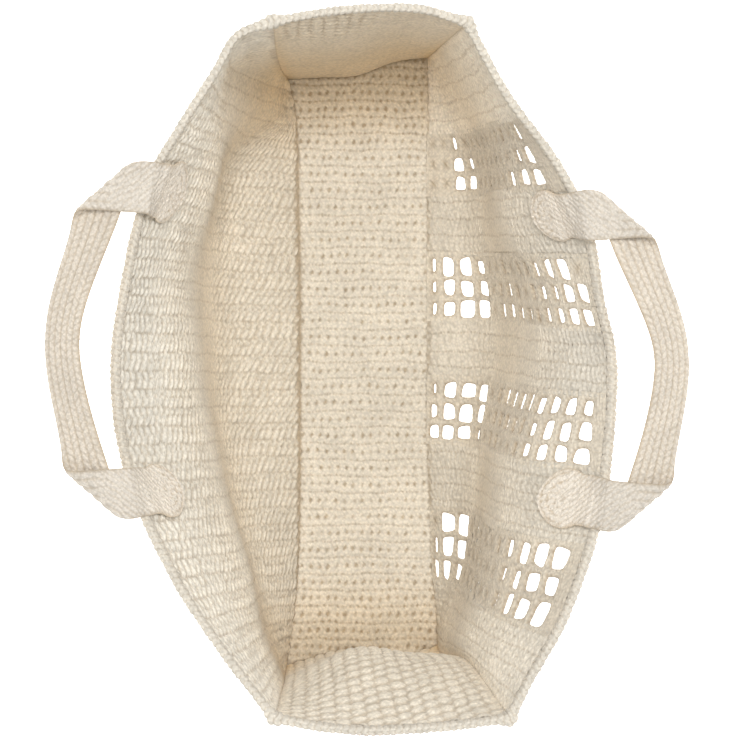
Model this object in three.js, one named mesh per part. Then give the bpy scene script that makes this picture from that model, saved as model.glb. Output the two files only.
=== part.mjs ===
// A crochet shopper bag that stands open on its flat base.
// X runs along the bag, the pierced front panel faces -Y, and Z is up from the underside of the base.
import * as THREE from "three";

// Cloth and clearances
const wall = 4; // thickness of the crochet cloth
const gap = 0.3; // between two pieces that are sewn together
const seamPull = 0.8 * gap; // of each of two panels back from the seam that they share
const baseGap = 0.4; // between the base and the feet of the panels
const baseCorner = 2; // how much more the base's corners keep clear of the four seams
const handleSeat = 1.1; // between a handle's ends and the middle of the curved cloth's facets

// Base and mouth
const baseLength = 460;
const baseSkew = 17.5; // how much farther along +X the front foot lies than the back one
const mouthLength = 474; // between the corner seams at the rim
const mouthShift = -6; // how far along X the mouth lies from the middle of the base
const mouthReach = 172; // from the middle plane to the widest place of the rim
const rimHeight = 260; // of the corners, which stand highest
const cornerDraw = { back: 3, front: 14 }; // how far along X the two left corners are drawn in at the waist

// Pierced bands of the front panel
const bandCount = 4;
const bandSpacing = 101;
const bandShift = -2; // of the middle of the bands, along X from the middle of the mouth
const holesAcross = 3;
const holesUp = 10;
const holePitch = 16.9; // across a band
const barWidth = 4.8; // of the cloth between two gaps
const bandStart = 5; // cloth between the foot and the lowest gap
const bandEnd = 9; // cloth between the highest gap and the rim

// Edging along the rim
const edgingHeight = 7;
const edgingWidth = 7;
const cornerBulge = 1.2; // how much thicker the edging is at the four corners

// Handles
const strapWidth = 36;
const strapThickness = 4;
const strapEndWidth = 42; // the round ends that are sewn inside the panels
const handleSpan = 204; // between the middles of a handle's two ends
// Where the middle of each handle's run lies: along X, and out from the middle plane
const backHandle = { middle: 14, reach: 208.5 };
const frontHandle = { middle: 2, reach: 214.5 };
const overRim = 24; // of strap that bends over the rim before it lies flat
const outgoingRise = 15; // of the flat strap over the rim
const outgoingLean = -4; // degrees, from straight out towards the handle's middle
const foldReach = 25; // from the rim to the middle of the diagonal fold
const foldRadius = 4.8;
const foldAngle = 41; // degrees, between the fold line and straight out
const runTilt = 42; // degrees, outwards and down, at the middle of the run

// Each row is a section of a long panel: where it stands along the bag, from -1 to 1, then how far out it
// lies at its foot, knee, waist and rim, as a share of mouthReach, and how high, as a share of rimHeight.
const backSections = [
  { at: -1, foot: 0.366, knee: 0.355, kneeZ: 0.23, waist: 0.345, waistZ: 0.54, rim: 0.355, rimZ: 1 },
  { at: -0.82, foot: 0.32, knee: 0.43, kneeZ: 0.173, waist: 0.453, waistZ: 0.54, rim: 0.552, rimZ: 0.958 },
  { at: -0.6, foot: 0.297, knee: 0.5, kneeZ: 0.2, waist: 0.53, waistZ: 0.546, rim: 0.756, rimZ: 0.896 },
  { at: -0.3, foot: 0.29, knee: 0.593, kneeZ: 0.215, waist: 0.657, waistZ: 0.558, rim: 0.942, rimZ: 0.835 },
  { at: 0, foot: 0.29, knee: 0.64, kneeZ: 0.223, waist: 0.727, waistZ: 0.577, rim: 1.0, rimZ: 0.807 },
  { at: 0.3, foot: 0.29, knee: 0.645, kneeZ: 0.223, waist: 0.762, waistZ: 0.569, rim: 0.948, rimZ: 0.827 },
  { at: 0.55, foot: 0.297, knee: 0.628, kneeZ: 0.212, waist: 0.669, waistZ: 0.546, rim: 0.855, rimZ: 0.877 },
  { at: 0.72, foot: 0.3, knee: 0.57, kneeZ: 0.192, waist: 0.61, waistZ: 0.54, rim: 0.72, rimZ: 0.919 },
  { at: 0.86, foot: 0.314, knee: 0.4, kneeZ: 0.096, waist: 0.587, waistZ: 0.52, rim: 0.593, rimZ: 0.958 },
  { at: 0.96, foot: 0.343, knee: 0.366, kneeZ: 0.09, waist: 0.547, waistZ: 0.5, rim: 0.505, rimZ: 0.99 },
  { at: 1, foot: 0.366, knee: 0.366, kneeZ: 0.13, waist: 0.372, waistZ: 0.54, rim: 0.362, rimZ: 1 },
];
const frontSections = [
  { at: -1, foot: 0.349, knee: 0.355, kneeZ: 0.154, waist: 0.453, waistZ: 0.577, rim: 0.575, rimZ: 1 },
  { at: -0.9, foot: 0.337, knee: 0.36, kneeZ: 0.125, waist: 0.459, waistZ: 0.577, rim: 0.651, rimZ: 0.973 },
  { at: -0.72, foot: 0.314, knee: 0.442, kneeZ: 0.127, waist: 0.541, waistZ: 0.577, rim: 0.797, rimZ: 0.927 },
  { at: -0.5, foot: 0.302, knee: 0.477, kneeZ: 0.135, waist: 0.61, waistZ: 0.585, rim: 0.913, rimZ: 0.873 },
  { at: -0.3, foot: 0.29, knee: 0.506, kneeZ: 0.135, waist: 0.645, waistZ: 0.596, rim: 0.971, rimZ: 0.835 },
  { at: 0, foot: 0.29, knee: 0.561, kneeZ: 0.135, waist: 0.767, waistZ: 0.615, rim: 1.0, rimZ: 0.807 },
  { at: 0.2, foot: 0.29, knee: 0.564, kneeZ: 0.135, waist: 0.744, waistZ: 0.608, rim: 0.948, rimZ: 0.823 },
  { at: 0.42, foot: 0.29, knee: 0.512, kneeZ: 0.131, waist: 0.645, waistZ: 0.585, rim: 0.89, rimZ: 0.858 },
  { at: 0.6, foot: 0.29, knee: 0.506, kneeZ: 0.127, waist: 0.605, waistZ: 0.577, rim: 0.767, rimZ: 0.896 },
  { at: 0.78, foot: 0.294, knee: 0.436, kneeZ: 0.108, waist: 0.541, waistZ: 0.577, rim: 0.583, rimZ: 0.946 },
  { at: 0.92, foot: 0.297, knee: 0.355, kneeZ: 0.1, waist: 0.448, waistZ: 0.57, rim: 0.47, rimZ: 0.98 },
  { at: 1, foot: 0.297, knee: 0.308, kneeZ: 0.13, waist: 0.355, waistZ: 0.54, rim: 0.41, rimZ: 1 },
];
// Shares of the cloth's height at which the foot, the knee, the waist and the rim lie
const backLevels = [0, 0.31, 0.63, 1];
const frontLevels = [0, 0.22, 0.72, 1];

// Each row is a section of an end panel: where it stands from the back corner to the front one, then how
// far it bulges out of the plane of its two seams at its foot, knee, waist and rim, as a share of baseLength.
const rightBulges = [
  { across: 0, foot: 0, knee: 0, waist: 0, rim: 0 },
  { across: 0.25, foot: -0.006, knee: -0.005, waist: -0.004, rim: 0.013 },
  { across: 0.5, foot: -0.0125, knee: -0.005, waist: 0.003, rim: 0.02 },
  { across: 0.76, foot: 0.001, knee: 0.006, waist: 0.012, rim: 0.019 },
  { across: 1, foot: 0, knee: 0, waist: 0, rim: 0 },
];
const leftBulges = [
  { across: 0, foot: 0, knee: 0, waist: 0, rim: 0 },
  { across: 0.2, foot: -0.009, knee: -0.014, waist: -0.026, rim: 0.012 },
  { across: 0.42, foot: -0.013, knee: -0.022, waist: -0.039, rim: 0.017 },
  { across: 0.73, foot: 0.01, knee: -0.002, waist: -0.02, rim: 0.011 },
  { across: 1, foot: 0, knee: 0, waist: 0, rim: 0 },
];
const endLevels = [0, 0.3, 0.7, 1];

// How finely the faceted solids are divided
const longestStep = 0.11; // share of half the length between two columns of the back panel
const backRows = 10;
const endColumns = 8;
const solidColumns = 2; // between two pierced bands
const edgeColumns = 4; // from the outer bands to the corners
const roundSteps = 4; // round half of a handle's end
const strapSteps = 28; // from the middle of a handle's end to the middle of its run
const strapColumns = 4;

const cotton = new THREE.MeshStandardMaterial({ color: 0xe9dfcb, roughness: 0.95, metalness: 0 });
const degrees = Math.PI / 180;
const drawFade = 8; // the power by which a corner's draw fades along the panel
const besideSeam = 0.006; // a share of a panel's length, just off its seam
const nearby = 0.004; // a share of a panel, between two places that give a direction
const beside = 0.2; // between two places on a strap that give a direction
const sharpCorner = 0.8; // the cosine below which the base's outline turns a corner
const clamp01 = (t) => Math.min(1, Math.max(0, t));
const ease = (t) => clamp01(t) ** 2 * (3 - 2 * clamp01(t));
const evenly = (count) => Array.from({ length: count + 1 }, (_, i) => i / count);

// A point on the smooth curve through points, which lie at the rising places in knots
function onCurve(points, knots, at) {
  const last = points.length - 1;
  let i = 0;
  while (i < last - 1 && at > knots[i + 1]) i++;
  const t = (at - knots[i]) / (knots[i + 1] - knots[i]);
  const [b, c] = [points[i], points[i + 1]];
  const a = i > 0 ? points[i - 1] : b.clone().multiplyScalar(2).sub(c);
  const d = i < last - 1 ? points[i + 2] : c.clone().multiplyScalar(2).sub(b);
  const [t2, t3] = [t ** 2, t ** 3];
  const weights = [-t + 2 * t2 - t3, 2 - 5 * t2 + 3 * t3, t + 4 * t2 - 3 * t3, t3 - t2];
  const sum = new THREE.Vector3();
  [a, b, c, d].forEach((p, k) => sum.addScaledVector(p, weights[k] / 2));
  return sum;
}

// The middle surface of a long panel. side is 1 at the back and -1 at the front. u runs along X from -1 to
// 1, and v runs up the cloth from 0 at the foot to 1 at the rim.
function longPanel(sections, levels, side, draw) {
  const knots = sections.map((s) => s.at);
  const place = (along, out, high) => {
    const footX = (along * baseLength) / 2 - (side * baseSkew) / 2;
    const rimX = (along * mouthLength) / 2 + mouthShift;
    const x = THREE.MathUtils.lerp(footX, rimX, high);
    return new THREE.Vector3(x, side * out * mouthReach, high * rimHeight);
  };
  const drawn = (along) => new THREE.Vector3(draw * Math.max(0, -along) ** drawFade, 0, 0);
  const lines = [
    sections.map((s) => place(s.at, s.foot, 0).setZ(wall / 2)),
    sections.map((s) => place(s.at, s.knee, s.kneeZ)),
    sections.map((s) => place(s.at, s.waist, s.waistZ).add(drawn(s.at))),
    sections.map((s) => place(s.at, s.rim, s.rimZ)),
  ];
  return (u, v) => {
    const profile = lines.map((line) => onCurve(line, knots, u));
    return onCurve(profile, levels, v);
  };
}

// The middle surface of an end panel, between the seams of the two long ones. u runs from back to front.
function endPanel(bulges, side) {
  const knots = bulges.map((b) => b.across);
  const inX = (share) => new THREE.Vector3(share, 0, 0);
  const out = bulges.map((b) => [b.foot, b.knee, b.waist, b.rim].map(inX));
  return (u, v) => {
    const bulge = onCurve(out.map((column) => onCurve(column, endLevels, v)), knots, u).x;
    const seam = back(side, v).lerp(front(side, v), u);
    return seam.setX(seam.x + side * bulge * baseLength);
  };
}

const back = longPanel(backSections, backLevels, 1, cornerDraw.back);
const front = longPanel(frontSections, frontLevels, -1, cornerDraw.front);
const right = endPanel(rightBulges, 1);
const left = endPanel(leftBulges, -1);

// The directions along u, up the cloth and out of the bag at a place of a surface
function frameAt(surface, u, v, turn) {
  const tangent = surface(u + nearby, v).sub(surface(u - nearby, v)).normalize();
  const rise = surface(u, Math.min(1, v + nearby)).sub(surface(u, Math.max(0, v - nearby))).normalize();
  const out = new THREE.Vector3().crossVectors(tangent, rise).multiplyScalar(turn).normalize();
  return { tangent, rise, out };
}

// A closed solid between two sheets of points over a grid of columns and rows, cut through where cut is true
function slab(columns, rows, near, far, cut = () => false) {
  const positions = [];
  const index = [];
  const wide = columns.length;
  const at = (i, j, sheet) => 2 * (j * wide + i) + sheet;
  const solid = (i, j) => i >= 0 && j >= 0 && i < wide - 1 && j < rows.length - 1 && !cut(i, j);
  rows.forEach((v) =>
    columns.forEach((u) => positions.push(...near(u, v).toArray(), ...far(u, v).toArray())),
  );
  const quad = (a, b, c, d) => index.push(a, b, c, a, c, d);
  for (let j = 0; j < rows.length - 1; j++)
    for (let i = 0; i < wide - 1; i++) {
      if (!solid(i, j)) continue;
      quad(at(i, j, 0), at(i, j + 1, 0), at(i + 1, j + 1, 0), at(i + 1, j, 0));
      quad(at(i, j, 1), at(i + 1, j, 1), at(i + 1, j + 1, 1), at(i, j + 1, 1));
      if (!solid(i, j - 1)) quad(at(i, j, 0), at(i + 1, j, 0), at(i + 1, j, 1), at(i, j, 1));
      if (!solid(i, j + 1)) quad(at(i, j + 1, 1), at(i + 1, j + 1, 1), at(i + 1, j + 1, 0), at(i, j + 1, 0));
      if (!solid(i - 1, j)) quad(at(i, j, 1), at(i, j + 1, 1), at(i, j + 1, 0), at(i, j, 0));
      if (!solid(i + 1, j)) quad(at(i + 1, j, 1), at(i + 1, j, 0), at(i + 1, j + 1, 0), at(i + 1, j + 1, 1));
    }
  return closed(positions, index);
}

// A mesh that faces outwards, without the points that no face uses
function closed(positions, index) {
  const point = (k) => new THREE.Vector3().fromArray(positions, 3 * index[k]);
  let volume = 0;
  for (let k = 0; k < index.length; k += 3) volume += point(k).dot(point(k + 1).cross(point(k + 2)));
  if (volume < 0) index.reverse();
  const geometry = new THREE.BufferGeometry();
  geometry.setAttribute("position", new THREE.Float32BufferAttribute(positions, 3));
  geometry.setIndex(index);
  return geometry;
}

// The offset from a corner seam to the corner where the outer faces of its two panels meet
function mitre(outA, outB) {
  return outA.clone().add(outB).multiplyScalar(wall / 2 / (1 + outA.dot(outB)));
}

// For each of the four corner seams, by its side and its end of the bag, the mitre at a height v
const corners = new Map();
for (const side of [1, -1])
  for (const end of [1, -1])
    corners.set(`${side} ${end}`, (v) => {
      const long = frameAt(side > 0 ? back : front, end * (1 - besideSeam), v, -side);
      const across = frameAt(end > 0 ? right : left, side > 0 ? besideSeam : 1 - besideSeam, v, -end);
      return mitre(long.out, across.out);
    });

// A panel's two sheets: sheet 1 is the outer one, -1 the inner one. seamOf names the corner at each end of u.
function panelSheets(surface, turn, ends, seamOf) {
  const place = (sheet) => (u, v) => {
    const inside = THREE.MathUtils.clamp(u, ends[0] + besideSeam, ends[1] - besideSeam);
    const { tangent, rise, out } = frameAt(surface, inside, v, turn);
    const level = tangent.addScaledVector(rise, -tangent.dot(rise)).normalize();
    const point = surface(u, v);
    const edge = ends.indexOf(u);
    if (edge >= 0) point.addScaledVector(level, (edge ? -1 : 1) * seamPull);
    if (v === 0) return point.setZ(sheet > 0 ? 0 : wall);
    return point.addScaledVector(edge < 0 ? out.multiplyScalar(wall / 2) : seamOf(edge)(v), sheet);
  };
  return { inner: place(-1), outer: place(1) };
}

const backSheets = panelSheets(back, -1, [-1, 1], (edge) => corners.get(`1 ${edge ? 1 : -1}`));
const frontSheets = panelSheets(front, 1, [-1, 1], (edge) => corners.get(`-1 ${edge ? 1 : -1}`));
const rightSheets = panelSheets(right, -1, [0, 1], (edge) => corners.get(`${edge ? -1 : 1} 1`));
const leftSheets = panelSheets(left, 1, [0, 1], (edge) => corners.get(`${edge ? -1 : 1} -1`));

const clothHeight = new THREE.CatmullRomCurve3(evenly(20).map((v) => front(0, v))).getLength();

// Columns of the front panel: each band is a row of gaps with a bar at either side of each
const frontColumns = [-1];
const gapColumns = new Set();
const firstBand = bandShift - ((bandCount - 1) * bandSpacing) / 2;
const toShare = (x) => x / (mouthLength / 2);
for (let band = 0; band < bandCount; band++) {
  const start = firstBand + band * bandSpacing - (holesAcross * holePitch + barWidth) / 2;
  const from = frontColumns[frontColumns.length - 1];
  const steps = band ? solidColumns : edgeColumns;
  for (let i = 1; i < steps; i++) frontColumns.push(THREE.MathUtils.lerp(from, toShare(start), i / steps));
  for (let hole = 0; hole < holesAcross; hole++) {
    const x = start + hole * holePitch;
    frontColumns.push(toShare(x), toShare(x + barWidth));
    gapColumns.add(frontColumns.length - 1);
  }
  const end = start + holesAcross * holePitch;
  frontColumns.push(toShare(end), toShare(end + barWidth));
}
const lastBar = frontColumns[frontColumns.length - 1];
for (let i = 1; i <= edgeColumns; i++) frontColumns.push(THREE.MathUtils.lerp(lastBar, 1, i / edgeColumns));

// Rows of the front panel, up the cloth
const frontRows = [0];
const gapRows = new Set();
const rowPitch = (clothHeight - bandStart - bandEnd) / holesUp;
for (let hole = 0; hole < holesUp; hole++) {
  const from = bandStart + hole * rowPitch;
  frontRows.push(from / clothHeight);
  gapRows.add(frontRows.length - 1);
  frontRows.push((from + rowPitch - barWidth) / clothHeight);
}
frontRows.push(1);

const backGrid = [-1];
for (const { at } of backSections.slice(1)) {
  const from = backGrid[backGrid.length - 1];
  const steps = Math.ceil((at - from) / longestStep);
  for (let i = 1; i <= steps; i++) backGrid.push(from + ((at - from) * i) / steps);
}
const seamRows = evenly(backRows);
const endGrid = evenly(endColumns);

// The stations along the rim, once round the bag, each with the place and the directions of the cloth
function rimStations() {
  const stations = [];
  const add = (surface, turn, us) =>
    us.forEach((u) => stations.push({ point: surface(u, 1), ...frameAt(surface, u, 1, turn), bulge: 1 }));
  const corner = (side, end) => {
    const point = (side > 0 ? back : front)(end, 1);
    const rise = frameAt(side > 0 ? back : front, end * (1 - besideSeam), 1, 1).rise;
    const out = corners.get(`${side} ${end}`)(1).divideScalar(wall / 2);
    stations.push({ point, rise, out, bulge: cornerBulge });
  };
  add(back, -1, backGrid.slice(1, -1));
  corner(1, 1);
  add(right, -1, endGrid.slice(1, -1));
  corner(-1, 1);
  add(front, 1, frontColumns.slice(1, -1).reverse());
  corner(-1, -1);
  add(left, 1, endGrid.slice(1, -1).reverse());
  corner(1, -1);
  return stations;
}

// The edging's section in shares of its width and height, from its seat on the cloth and round
function rimEdging() {
  const section = [
    { out: -0.3, high: 0 },
    { out: 0.3, high: 0 },
    { out: 0.5, high: 0.45 },
    { out: 0.25, high: 1 },
    { out: -0.25, high: 1 },
    { out: -0.5, high: 0.45 },
  ];
  const stations = rimStations();
  const positions = [];
  const index = [];
  for (const { point, rise, out, bulge } of stations)
    for (const { out: o, high } of section)
      positions.push(
        ...point
          .clone()
          .addScaledVector(out, o * edgingWidth * bulge)
          .addScaledVector(rise, gap + high * edgingHeight * bulge)
          .toArray(),
      );
  const n = section.length;
  for (let i = 0; i < stations.length; i++)
    for (let k = 0; k < n; k++) {
      const [a, b] = [i * n + k, i * n + ((k + 1) % n)];
      const [c, d] = [((i + 1) % stations.length) * n + ((k + 1) % n), ((i + 1) % stations.length) * n + k];
      index.push(a, b, c, a, c, d);
    }
  return closed(positions, index);
}

// The base: one flat slab inside the feet of the four panels
function basePanel() {
  const feet = [
    ...backGrid.slice(0, -1).map((u) => back(u, 0)),
    ...endGrid.slice(0, -1).map((u) => right(u, 0)),
    ...frontColumns.slice(1).reverse().map((u) => front(u, 0)),
    ...endGrid.slice(1).reverse().map((u) => left(u, 0)),
  ];
  const normal = (from, to) => new THREE.Vector2(to.y - from.y, from.x - to.x).normalize();
  const outline = feet.map((p, i) => {
    const before = normal(feet.at(i - 1), p);
    const after = normal(p, feet[(i + 1) % feet.length]);
    const clear = before.dot(after) < sharpCorner ? baseGap + baseCorner : baseGap;
    const inward = before.clone().add(after).multiplyScalar(clear / (1 + before.dot(after)));
    return new THREE.Vector2(p.x + inward.x, p.y + inward.y);
  });
  return new THREE.ExtrudeGeometry(new THREE.Shape(outline), { depth: wall, bevelEnabled: false });
}

// One half of a handle's middle surface, from its round end inside the panel to the middle of the run. end
// is 1 for the half towards +X. s runs along the strap from 0 at the rim, and w across it.
function halfHandle(surface, side, end, { middle, reach }) {
  const half = handleSpan / 2;
  const uAt = (direction) => (middle + direction * half - mouthShift) / (mouthLength / 2);
  const u0 = uAt(end);
  const perU = surface(u0 + nearby, 1).distanceTo(surface(u0 - nearby, 1)) / (2 * nearby);
  const onPanel = wall / 2 + handleSeat + strapThickness / 2;
  const overEdging = edgingWidth / 2 + handleSeat + strapThickness / 2;
  const seat = (s, w) => {
    const u = u0 + (end * w) / perU;
    const v = Math.min(1, 1 + s / clothHeight);
    const { rise, out } = frameAt(surface, u, v, -side);
    const inset = THREE.MathUtils.lerp(onPanel, overEdging, ease(1 + s / (2 * edgingHeight)));
    return surface(u, v).addScaledVector(out, -inset).addScaledVector(rise, Math.max(0, s));
  };
  // Beyond the rim the strap lies nearly flat. out is measured from the middle plane, away from the middle.
  const rim = surface(u0, 1);
  const foldOut = Math.abs(rim.y) + foldReach;
  const angle = foldAngle * degrees;
  const lean = outgoingLean * degrees;
  const runSlope = 1 / Math.tan(2 * angle - lean);
  const leave = Math.abs(seat(overRim, 0).y);
  const folded = (s, w) => {
    let out = leave + (s - overRim) * Math.cos(lean) + w * Math.sin(lean);
    let away = half - (s - overRim) * Math.sin(lean) + w * Math.cos(lean);
    const past = (out - foldOut) * Math.sin(angle) + (away - half) * Math.cos(angle);
    const turn = THREE.MathUtils.clamp(past / foldRadius, 0, Math.PI);
    const beyond = Math.max(0, past - Math.PI * foldRadius);
    const returned = Math.max(0, past) - foldRadius * Math.sin(turn) + beyond;
    out -= returned * Math.sin(angle);
    away -= returned * Math.cos(angle);
    return { out, away, high: rim.z + outgoingRise - foldRadius * (1 - Math.cos(turn)), turn };
  };
  // The run bows outwards, tilts and comes to one height with the other half towards its middle
  const foldLength = Math.PI * foldRadius;
  const foldDrift = (foldLength * (Math.cos(angle) - Math.sin(angle) * runSlope)) / Math.tan(angle - lean);
  const runStart = foldOut + foldDrift;
  const depth = reach - runStart;
  const fullness = 3 - (runSlope * half) / depth;
  const levelling = (surface(uAt(-end), 1).z - rim.z) / 2;
  const bow = (share) => reach - depth * share ** 2 * (fullness - (fullness - 1) * share);
  const bowed = ({ out, away, high, turn }) => {
    const offset = (out - runStart - (half - away) * runSlope) / (1 + runSlope ** 2);
    const share = Math.min(1, (away - offset * runSlope) / half);
    const slope = (bow(share - nearby) - bow(share + nearby)) / (2 * nearby * half);
    const tilt = runTilt * degrees * (1 - share ** 5);
    const blend = ease((turn / Math.PI - 0.5) * 2);
    const across = offset * Math.sqrt(1 + runSlope ** 2);
    return {
      out: THREE.MathUtils.lerp(out, bow(share) + across * Math.cos(tilt), blend),
      away: THREE.MathUtils.lerp(away, share * half + across * slope * Math.cos(tilt), share < 1 ? blend : 0),
      high: high + (levelling * (1 - share ** 2) - across * Math.sin(tilt)) * blend,
    };
  };
  const place = (s, w) => {
    const { out, away, high } = bowed(folded(s, w));
    const free = new THREE.Vector3(middle + end * away, side * out, high);
    return s >= overRim ? free : seat(s, w).lerp(free, ease(s / overRim));
  };
  // Stations lie along the fold line where the strap folds, and square to the strap elsewhere
  const foldAt = overRim + (foldOut - leave) / Math.cos(lean);
  const squareAgain = foldAt + 2 * Math.PI * foldRadius;
  const shear = (s) =>
    (-ease(s / foldAt) * (1 - ease((s - squareAgain) / strapWidth))) / Math.tan(angle - lean);
  let runMiddle = foldAt;
  while (end * (place(runMiddle, 0).x - middle) > 0) runMiddle += beside / 2;
  return { place, shear, runMiddle };
}

// A handle: a flat strap with two round ends, lofted from one end over both folds to the other
function handle(surface, side, place) {
  const radius = strapEndWidth / 2;
  const halfWidth = (s) => {
    const round = Math.sqrt(Math.max(0, radius ** 2 - (s + radius) ** 2));
    return s < -radius ? Math.max(1, round) : Math.max(strapWidth / 2, round);
  };
  const halfStations = (end) => {
    const half = halfHandle(surface, side, end, place);
    const round = evenly(roundSteps).map((t) => -radius - radius * Math.cos((t * Math.PI) / 2));
    const straight = evenly(strapSteps).slice(1).map((t) => THREE.MathUtils.lerp(-radius, half.runMiddle, t));
    return [...round, ...straight].map((s) => ({ s, end, half }));
  };
  const stations = [...halfStations(-1), ...halfStations(1).reverse().slice(1)];
  const sheetOf = (sheet) => (share, k) => {
    const { s, end, half } = stations[k];
    const w = share * halfWidth(s);
    const strap = (ds, dw) => half.place(s + half.shear(s) * w + ds, w + dw);
    const onward = strap(beside, 0).sub(strap(-beside, 0));
    const normal = onward.cross(strap(0, beside).sub(strap(0, -beside))).normalize();
    return strap(0, 0).addScaledVector(normal, (end * side * sheet * strapThickness) / 2);
  };
  return slab(evenly(strapColumns).map((t) => 2 * t - 1), stations.map((_, k) => k), sheetOf(1), sheetOf(-1));
}

const bag = new THREE.Group();
const add = (name, geometry) => {
  const mesh = new THREE.Mesh(geometry, cotton);
  mesh.name = name;
  bag.add(mesh);
};
add("base_panel", basePanel());
add("back_panel", slab(backGrid, seamRows, backSheets.inner, backSheets.outer));
const pierced = (i, j) => gapColumns.has(i) && gapRows.has(j);
add("front_panel", slab(frontColumns, frontRows, frontSheets.inner, frontSheets.outer, pierced));
add("end_panel_right", slab(endGrid, seamRows, rightSheets.inner, rightSheets.outer));
add("end_panel_left", slab(endGrid, seamRows, leftSheets.inner, leftSheets.outer));
add("rim_edging", rimEdging());
add("handle_back", handle(back, 1, backHandle));
add("handle_front", handle(front, -1, frontHandle));

export default bag;
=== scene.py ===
import math

import bpy
import numpy as np
from mathutils import Matrix, Vector


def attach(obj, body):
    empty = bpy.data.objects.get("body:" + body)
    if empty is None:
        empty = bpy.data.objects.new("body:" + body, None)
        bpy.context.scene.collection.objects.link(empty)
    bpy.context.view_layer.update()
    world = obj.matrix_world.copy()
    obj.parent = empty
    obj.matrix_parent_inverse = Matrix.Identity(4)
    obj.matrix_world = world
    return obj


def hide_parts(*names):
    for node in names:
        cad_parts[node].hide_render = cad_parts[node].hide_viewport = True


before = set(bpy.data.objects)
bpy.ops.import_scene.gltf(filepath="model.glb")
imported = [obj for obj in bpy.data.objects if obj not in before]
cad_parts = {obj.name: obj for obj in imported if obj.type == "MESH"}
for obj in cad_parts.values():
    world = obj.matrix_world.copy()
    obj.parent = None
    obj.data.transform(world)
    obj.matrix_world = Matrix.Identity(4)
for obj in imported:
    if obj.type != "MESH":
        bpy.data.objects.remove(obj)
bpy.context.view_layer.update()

# Sizes in millimetres, as in the model
MM = 0.001
WALL = 4
GAP = 0.3
BASE_LENGTH = 460
BASE_WIDTH = 110
BASE_SKEW = 17.5
MOUTH_LENGTH = 474
MOUTH_SHIFT = -6
MOUTH_REACH = 172
RIM_HEIGHT = 260
CORNER_DRAW = {"back": 3, "front": 14}
DRAW_FADE = 8
BAND_COUNT = 4
HOLES_ACROSS = 3
BAR_WIDTH = 4.8
EDGING_HEIGHT = 7
EDGING_WIDTH = 7
HANDLE_SEAT = 1.1
STRAP_WIDTH = 36
STRAP_THICKNESS = 4
STRAP_END_WIDTH = 42
HANDLES = {"back": (14, 210.5, 106), "front": (0, 215, 101)}
OVER_RIM = 24
OUTGOING_RISE = 15
OUTGOING_LEAN = math.radians(-4)
FOLD_REACH = 25
FOLD_RADIUS = 4.8
FOLD_ANGLE = math.radians(41)
RUN_TILT = math.radians(42)

# Sections of the two long walls: at, foot, knee, knee height, waist, waist height, rim, rim height
BACK = [
    (-1, 0.366, 0.355, 0.23, 0.345, 0.54, 0.355, 1),
    (-0.82, 0.32, 0.43, 0.173, 0.453, 0.54, 0.552, 0.958),
    (-0.6, 0.297, 0.5, 0.2, 0.53, 0.546, 0.756, 0.896),
    (-0.3, 0.29, 0.593, 0.215, 0.657, 0.558, 0.942, 0.835),
    (0, 0.29, 0.64, 0.223, 0.727, 0.577, 1, 0.807),
    (0.3, 0.29, 0.645, 0.223, 0.762, 0.569, 0.948, 0.827),
    (0.55, 0.297, 0.628, 0.212, 0.669, 0.546, 0.855, 0.877),
    (0.72, 0.3, 0.57, 0.192, 0.61, 0.54, 0.72, 0.919),
    (0.86, 0.314, 0.4, 0.096, 0.587, 0.52, 0.593, 0.958),
    (0.96, 0.343, 0.366, 0.09, 0.547, 0.5, 0.505, 0.99),
    (1, 0.366, 0.366, 0.13, 0.372, 0.54, 0.362, 1),
]
FRONT = [
    (-1, 0.349, 0.355, 0.154, 0.453, 0.577, 0.575, 1),
    (-0.9, 0.337, 0.36, 0.125, 0.459, 0.577, 0.651, 0.973),
    (-0.72, 0.314, 0.442, 0.127, 0.541, 0.577, 0.797, 0.927),
    (-0.5, 0.302, 0.477, 0.135, 0.61, 0.585, 0.913, 0.873),
    (-0.3, 0.29, 0.506, 0.135, 0.645, 0.596, 0.971, 0.835),
    (0, 0.29, 0.561, 0.135, 0.767, 0.615, 1, 0.807),
    (0.2, 0.29, 0.564, 0.135, 0.744, 0.608, 0.948, 0.823),
    (0.42, 0.29, 0.512, 0.131, 0.645, 0.585, 0.89, 0.858),
    (0.6, 0.29, 0.506, 0.127, 0.605, 0.577, 0.767, 0.896),
    (0.78, 0.294, 0.436, 0.108, 0.541, 0.577, 0.583, 0.946),
    (0.92, 0.297, 0.355, 0.1, 0.448, 0.57, 0.47, 0.98),
    (1, 0.297, 0.308, 0.13, 0.355, 0.54, 0.41, 1),
]
BACK_LEVELS = np.array([0, 0.31, 0.63, 1])
FRONT_LEVELS = np.array([0, 0.22, 0.72, 1])
END_LEVELS = np.array([0, 0.3, 0.7, 1])
# Bulges of the two end walls: across, foot, knee, waist, rim
RIGHT = [
    (0, 0, 0, 0, 0),
    (0.25, -0.006, -0.005, -0.004, 0.013),
    (0.5, -0.0125, -0.005, 0.003, 0.02),
    (0.76, 0.001, 0.006, 0.012, 0.019),
    (1, 0, 0, 0, 0),
]
LEFT = [
    (0, 0, 0, 0, 0),
    (0.2, -0.009, -0.014, -0.026, 0.012),
    (0.42, -0.013, -0.022, -0.039, 0.017),
    (0.73, 0.01, -0.002, -0.02, 0.011),
    (1, 0, 0, 0, 0),
]
# Small steps along a surface, as shares of it
NEARBY = 0.004
BESIDE_SEAM = 0.006


def lerp(a, b, t):
    return a + (b - a) * t


def ease(t):
    t = np.clip(t, 0, 1)
    return t * t * (3 - 2 * t)


def unit(vectors):
    return vectors / np.linalg.norm(vectors, axis=-1, keepdims=True)


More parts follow.
